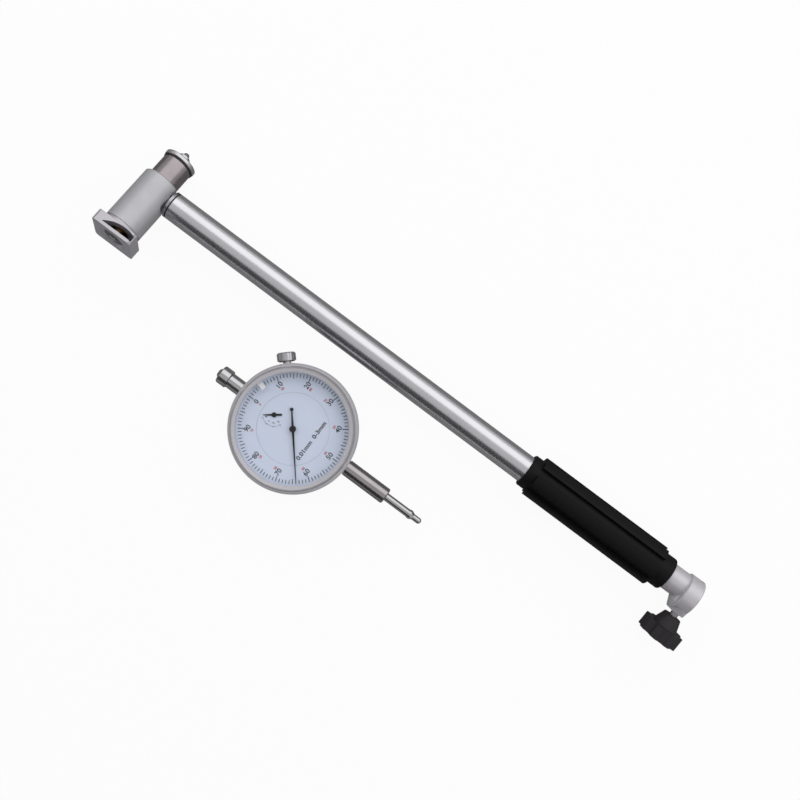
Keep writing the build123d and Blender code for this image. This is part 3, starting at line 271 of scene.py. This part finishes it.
satin_chrome, shader = start_material("satin_chromed_brass")
shader.inputs["Base Color"].default_value = linear("#D0CED3")
shader.inputs["Metallic"].default_value = 0.75
place = add(satin_chrome, "ShaderNodeTexCoord")
centred = add(satin_chrome, "ShaderNodeMapping", {"Location": (-dial_x, -dial_y, 0)},
              {"Vector": (place, "Object")})
flat = add(satin_chrome, "ShaderNodeVectorMath", {"operation": "MULTIPLY", 1: (1, 1, 0)},
           {0: (centred, "Vector")})
radius = add(satin_chrome, "ShaderNodeVectorMath", {"operation": "LENGTH"}, {0: (flat, "Vector")})
lines = add(satin_chrome, "ShaderNodeTexNoise",
            {"noise_dimensions": "1D", "Scale": 1 / (turning_line * MM), "Detail": 2.0},
            {"W": (radius, "Value")})
uneven = add(satin_chrome, "ShaderNodeMapRange", {**noise_span, "To Min": 0.24, "To Max": 0.36},
             {"Value": (lines, "Fac")})
feed(satin_chrome, shader, "Roughness", uneven, "Result")
relief = add(satin_chrome, "ShaderNodeBump", {"Strength": 1.0, "Distance": 0.005 * MM},
             {"Height": (lines, "Fac")})
feed(satin_chrome, shader, "Normal", relief, "Normal")
# Knurled chrome: the same plating, a little paler and without turning lines
knurled_chrome = metal("knurled_chromed_brass", "#D6D4D7", "#C9C7CA", 0.34, 0.06, 0.3, bump_mm=0.004)
dress(satin_chrome, "bezel")
dress(knurled_chrome, "bezel_lock_screw", "bezel_lock_shoe", "anvil_lock_nut")


def knurl(name, radius_mm, width_mm, teeth, height_mm, where, wall_mm=0.06):
    """Band of straight knurling: an open ring whose every second face is raised, with a wall inside it."""
    bpy.ops.object.select_all(action="DESELECT")
    bpy.ops.mesh.primitive_cylinder_add(vertices=2 * teeth, radius=radius_mm * MM, depth=width_mm * MM,
                                        end_fill_type="NOTHING")
    band = bpy.context.object
    band.name = name
    for face in band.data.polygons:
        face.select = face.index % 2 == 0
    bpy.ops.object.mode_set(mode="EDIT")
    bpy.ops.mesh.select_mode(type="FACE")
    bpy.ops.mesh.extrude_region_shrink_fatten(TRANSFORM_OT_shrink_fatten={"value": height_mm * MM})
    bpy.ops.mesh.select_all(action="SELECT")
    bpy.ops.mesh.normals_make_consistent(inside=False)
    bpy.ops.object.mode_set(mode="OBJECT")
    wall = band.modifiers.new("wall", "SOLIDIFY")
    wall.thickness = wall_mm * MM
    wall.offset = -1
    bpy.ops.object.modifier_apply(modifier="wall")
    band.data.transform(where)
    return band


def settle(piece, material, body):
    """Gives a finished piece its material and its body."""
    piece.data.materials.clear()
    piece.data.materials.append(material)
    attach(piece, body)


def facing(point, direction):
    """Matrix that stands a piece's Z axis along a direction at a point."""
    return Matrix.Translation(point) @ Vector(direction).to_track_quat("Z", "Y").to_matrix().to_4x4()


# The rim's knurling stops short of both its edges
rim_bottom, rim_top, rim_border = 12.9, 16.4, 0.35
rim_radius, rim_teeth, rim_tooth = 30.4, 150, 0.3
rim = knurl("bezel_knurl", rim_radius, rim_top - rim_bottom - 2 * rim_border, rim_teeth, rim_tooth,
            Matrix.Translation((dial_x, dial_y, (rim_bottom + rim_top) / 2 * MM)))
settle(rim, knurled_chrome, "bezel")

# The lock screw points away from the dial's middle, and its head lies between two distances from there
lock_turn = math.radians(133.2)
lock_out = Vector((math.cos(lock_turn), math.sin(lock_turn), 0))
lock_level = 8.7
lock_low, lock_high, lock_border = 31.8, 36.2, 0.45
lock_radius, lock_teeth, lock_tooth = 4.1, 20, 0.4
lock_middle = Vector((dial_x, dial_y, lock_level * MM)) + lock_out * (lock_low + lock_high) / 2 * MM
lock_band = knurl("lock_screw_knurl", lock_radius, lock_high - lock_low - 2 * lock_border, lock_teeth,
                  lock_tooth, facing(lock_middle, lock_out))
settle(lock_band, knurled_chrome, "lock_screw")

# Dial
#
# Aluminium with a matt white lacquer, printed in black and red. The outer ring carries the hundred
# graduations and turns with the bezel; the middle keeps still and carries the turn counter.
# Matt lacquer: a cold white without gloss, slightly mottled
face_paint, shader = start_material("matt_white_dial_lacquer")
shader.inputs["Roughness"].default_value = 0.6
tint = add(face_paint, "ShaderNodeMix", {"data_type": "RGBA", "A": linear("#CFD9EC"), "B": linear("#D5DDEE")},
           {"Factor": (grain(face_paint, 6.0, detail=2.0), "Fac")})
feed(face_paint, shader, "Base Color", tint, "Result")
dress(face_paint, "dial_ring", "dial_centre_disc")

# Printing ink: dull, so that it reads from any side
black_ink, shader = start_material("black_printing_ink")
shader.inputs["Base Color"].default_value = linear("#23252E")
shader.inputs["Roughness"].default_value = 0.7
red_ink, shader = start_material("red_printing_ink")
shader.inputs["Base Color"].default_value = linear("#BE4656")
shader.inputs["Roughness"].default_value = 0.7

face_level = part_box("dial_ring")[1].z
# Thickness of the print, of which a part lies in the lacquer
ink = 0.03 * MM
# Height of a figure as a share of the font's size
figure_share = 0.69
tenth_turn = 36


def join(name, pieces):
    """Makes several meshes one piece."""
    bpy.ops.object.select_all(action="DESELECT")
    for piece in pieces:
        piece.select_set(True)
    bpy.context.view_layer.objects.active = pieces[0]
    bpy.ops.object.join()
    whole = bpy.context.object
    whole.name = name
    return whole


def printed_mark(inner, outer, width, angle=180.0, centre=(0, 0)):
    """One printed line across the scale, from an inner to an outer radius, with its corners taken off."""
    bpy.ops.object.select_all(action="DESELECT")
    bpy.ops.mesh.primitive_plane_add(size=1)
    mark = bpy.context.object
    mark.data.transform(Matrix.Diagonal(((outer - inner) * MM, width * MM, 1, 1)))
    bpy.ops.object.mode_set(mode="EDIT")
    bpy.ops.mesh.select_all(action="SELECT")
    bpy.ops.mesh.bevel(offset=width * 0.25 * MM, segments=1, affect="VERTICES")
    bpy.ops.mesh.extrude_region_move(TRANSFORM_OT_translate={"value": (0, 0, ink)})
    bpy.ops.mesh.select_all(action="SELECT")
    bpy.ops.mesh.normals_make_consistent(inside=False)
    bpy.ops.object.mode_set(mode="OBJECT")
    mark.data.transform(Matrix.Translation(((inner + outer) / 2 * MM, 0, face_level - ink / 3)))
    mark.data.transform(Matrix.Rotation(math.radians(angle), 4, "Z"))
    mark.data.transform(Matrix.Translation((dial_x + centre[0] * MM, dial_y + centre[1] * MM, 0)))
    return mark


def repeat_round(mark, copies=9):
    """Spins further copies of a mark round the dial's middle, a tenth of a turn apart."""
    bpy.ops.object.select_all(action="DESELECT")
    mark.select_set(True)
    bpy.context.view_layer.objects.active = mark
    bpy.ops.object.mode_set(mode="EDIT")
    bpy.ops.mesh.select_all(action="SELECT")
    bpy.ops.mesh.spin(steps=copies, dupli=True, angle=math.radians(tenth_turn) * copies,
                      center=(dial_x, dial_y, 0), axis=(0, 0, 1))
    bpy.ops.object.mode_set(mode="OBJECT")
    return mark


# Every tenth line is long, the fifth between them a little shorter, and the others are short
scale_edge = 25.9
tens = repeat_round(printed_mark(scale_edge - 2.9, scale_edge, 0.38))
fives = repeat_round(printed_mark(scale_edge - 2.4, scale_edge, 0.36, 162))
units = []
for step in (1, 2, 3, 4, 6, 7, 8, 9):
    units.append(repeat_round(printed_mark(scale_edge - 1.8, scale_edge, 0.34, 180 - tenth_turn / 10 * step)))
graduations = join("dial_graduations", [tens, fives, *units])
settle(graduations, black_ink, "bezel")


def printed_words(text, height, across, up, heft=0.05, length=None):
    """Printed figures, upright when 12 o'clock is up, at a place across and up from the dial's middle."""
    bpy.ops.object.select_all(action="DESELECT")
    bpy.ops.object.text_add()
    words = bpy.context.object
    words.data.body = text
    words.data.align_x, words.data.align_y = "CENTER", "CENTER"
    words.data.size = height / figure_share * MM
    words.data.offset = heft * MM
    words.data.extrude = ink / 2
    words.data.resolution_u = 3
    bpy.ops.object.convert(target="MESH")
    words = bpy.context.object
    if length:
        words.data.transform(Matrix.Diagonal((length * MM / words.dimensions.x, 1, 1, 1)))
    words.data.transform(Matrix.Translation((dial_x - up * MM, dial_y + across * MM, face_level + ink / 6))
                         @ Matrix.Rotation(math.radians(90), 4, "Z"))
    return words


# The black figures count one way round, and the small red ones beside them the other way
figure_height, figure_radius = 2.3, 21.3
reverse_height, reverse_across, reverse_up, reverse_shift = 1.15, 20.6, 21.2, 2.2
black_figures, red_figures = [], []
for tenth in range(10):
    turn = math.radians(tenth_turn * tenth)
    across, up = figure_radius * math.sin(turn), figure_radius * math.cos(turn)
    black_figures.append(printed_words(str(10 * tenth), figure_height, across, up, 0.06))
    reverse = 100 - 10 * tenth if tenth else 0
    inward = -reverse_shift if math.cos(turn) > 0 else reverse_shift
    across, up = reverse_across * math.sin(turn), reverse_up * math.cos(turn) + inward
    red_figures.append(printed_words(str(reverse), reverse_height, across, up))
settle(join("dial_figures", black_figures), black_ink, "bezel")
settle(join("dial_reverse_figures", red_figures), red_ink, "bezel")

unit_height, unit_across, unit_up, unit_length = 2.0, 0.6, -10.2, 21.6
unit_words = printed_words("0.01mm  0-3mm", unit_height, unit_across, unit_up, 0.08, unit_length)
settle(unit_words, black_ink, "gauge")
unit_words.name = "dial_unit_words"

# The turn counter: an arc with four lines and their figures beside the small hand
counter_place = (-11, 0)
counter_start, counter_step = 230, 36
counter_inner, counter_outer, counter_figures = 5.2, 6.0, 3.8
arc_inner, arc_outer, arc_steps = 5.32, 5.48, 27
counter_marks = []
for whole in range(4):
    angle = counter_start + counter_step * whole
    counter_marks.append(printed_mark(counter_inner, counter_outer, 0.22, angle, counter_place))
    turn = math.radians(angle)
    across, up = counter_figures * math.sin(turn), -counter_place[0] - counter_figures * math.cos(turn)
    counter_marks.append(printed_words(str(whole), 1.0, across, up, 0.04))
for step in range(arc_steps):
    angle = counter_start + (step + 0.5) * 3 * counter_step / arc_steps
    counter_marks.append(printed_mark(arc_inner, arc_outer, 0.42, angle, counter_place))
settle(join("counter_marks", counter_marks), black_ink, "gauge")

# Hands, crystal and limit marker
#
# Stamped steel hands, dipped in black enamel, under a flat acrylic crystal. The limit marker is a white
# clip that slides round in the bezel.
# Dip enamel: blue-black, with a soft shine that varies where it ran
enamel, shader = start_material("black_enamel")
shader.inputs["Base Color"].default_value = linear("#15171F")
uneven = add(enamel, "ShaderNodeMapRange", {**noise_span, "To Min": 0.3, "To Max": 0.4},
             {"Value": (grain(enamel, 0.8), "Fac")})
feed(enamel, shader, "Roughness", uneven, "Result")
dress(enamel, "main_hand", "small_hand")

# Clear acrylic: a low alpha keeps the dial's own tone, and a faint reflection stays on top of it
acrylic, shader = start_material("clear_acrylic")
shader.inputs["Base Color"].default_value = linear("#F4F8FF")
shader.inputs["Transmission Weight"].default_value = 1.0
shader.inputs["IOR"].default_value = 1.49
shader.inputs["Roughness"].default_value = 0.02
shader.inputs["Alpha"].default_value = 0.14
dress(acrylic, "crystal")

# Moulded acetal: a clean white with a soft shine
white_clip, shader = start_material("white_acetal_marker")
shader.inputs["Base Color"].default_value = linear("#ECECF0")
uneven = add(white_clip, "ShaderNodeMapRange", {**noise_span, "To Min": 0.3, "To Max": 0.4},
             {"Value": (grain(white_clip, 0.8), "Fac")})
feed(white_clip, shader, "Roughness", uneven, "Result")
dress(white_clip, "limit_marker")

# Table, lamp and camera
#
# A pale table under one broad lamp on the far side, and a dark card low on the near side, which gives
# round metal its dark band. The camera looks straight down.
# Matt table paint, which keeps the shadows, under a white that the camera sees. Metal mirrors the table
# at under a quarter of that white.
white_cover, mirrored_white = 0.94, 0.18
table_paint, shader = start_material("pale_table")
shader.inputs["Base Color"].default_value = linear("#DCDCDC")
shader.inputs["Roughness"].default_value = 0.9
path = add(table_paint, "ShaderNodeLightPath")
seen = add(table_paint, "ShaderNodeMath", {"operation": "MAXIMUM"},
           {0: (path, "Is Camera Ray"), 1: (path, "Is Transmission Ray")})
shown = add(table_paint, "ShaderNodeMath", {"operation": "MAXIMUM"},
            {0: (seen, "Value"), 1: (path, "Is Glossy Ray")})
cover = add(table_paint, "ShaderNodeMath", {"operation": "MULTIPLY", 1: white_cover}, {0: (shown, "Value")})
strength = add(table_paint, "ShaderNodeMapRange", {"To Min": 1.0, "To Max": mirrored_white},
               {"Value": (path, "Is Glossy Ray")})
white = add(table_paint, "ShaderNodeEmission", {"Color": (1, 1, 1, 1)}, {"Strength": (strength, "Result")})
covered = add(table_paint, "ShaderNodeMixShader", {},
              {0: (cover, "Value"), 1: (shader, "BSDF"), 2: (white, "Emission")})
feed(table_paint, table_paint.node_tree.nodes["Material Output"], "Surface", covered, "Shader")
# The table lies a tenth of a millimetre below the pieces
bpy.ops.object.select_all(action="DESELECT")
bpy.ops.mesh.primitive_plane_add(size=6.0, location=(0, 0, -0.0001))
table = bpy.context.object
table.name = "table"
table.data.materials.append(table_paint)

# Matt card: it has no shine of its own, and the camera can't see it
card_paint, shader = start_material("dark_card")
shader.inputs["Base Color"].default_value = linear("#4B4B4D")
shader.inputs["Roughness"].default_value = 0.95
card_place = Vector((0, -1.0, 0.62))
bpy.ops.object.select_all(action="DESELECT")
bpy.ops.mesh.primitive_plane_add(size=1)
near_card = bpy.context.object
near_card.name = "near_card"
near_card.data.transform(facing(card_place, -card_place) @ Matrix.Diagonal((2.6, 1.1, 1, 1)))
near_card.data.materials.append(card_paint)
near_card.visible_camera = False

lamp_place = (0, 0.85, 0.9)
lamp_data = bpy.data.lights.new("broad_lamp", "AREA")
lamp_data.shape = "RECTANGLE"
lamp_data.size, lamp_data.size_y = 2.6, 1.1
lamp_data.energy = 6.0
lamp = bpy.data.objects.new("broad_lamp", lamp_data)
bpy.context.scene.collection.objects.link(lamp)
lamp.matrix_world = facing(lamp_place, lamp_place)

# Metal sees about half of the white that the camera and painted surfaces see
world = bpy.data.worlds.new("studio")
bpy.context.scene.world = world
world.use_nodes = True
background = world.node_tree.nodes["Background"]
background.inputs["Color"].default_value = (1, 1, 1, 1)
path = add(world, "ShaderNodeLightPath")
level = add(world, "ShaderNodeMapRange", {"To Min": 1.0, "To Max": 0.55}, {"Value": (path, "Is Glossy Ray")})
feed(world, background, "Strength", level, "Result")

# The photograph is seen from half a metre over the table, turned so that the tube runs down to the right
pixels, focal_pixels, pixel_mm = 800, 1075, 0.4685
view_turn = 36.72
view_along, view_aside = 139.03, 9.27
tube_low, tube_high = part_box("tube")
tube_middle = (tube_low + tube_high) / 2
camera_data = bpy.data.cameras.new("camera")
camera_data.sensor_width = 36.0
camera_data.lens = focal_pixels / pixels * camera_data.sensor_width
camera = bpy.data.objects.new("camera", camera_data)
bpy.context.scene.collection.objects.link(camera)
camera.location = (tube_low.x + view_along * MM, tube_middle.y - view_aside * MM,
                   tube_middle.z + focal_pixels * pixel_mm * MM)
camera.rotation_euler = (0, 0, math.radians(view_turn))
bpy.context.scene.camera = camera
bpy.context.scene.view_settings.view_transform = "Standard"
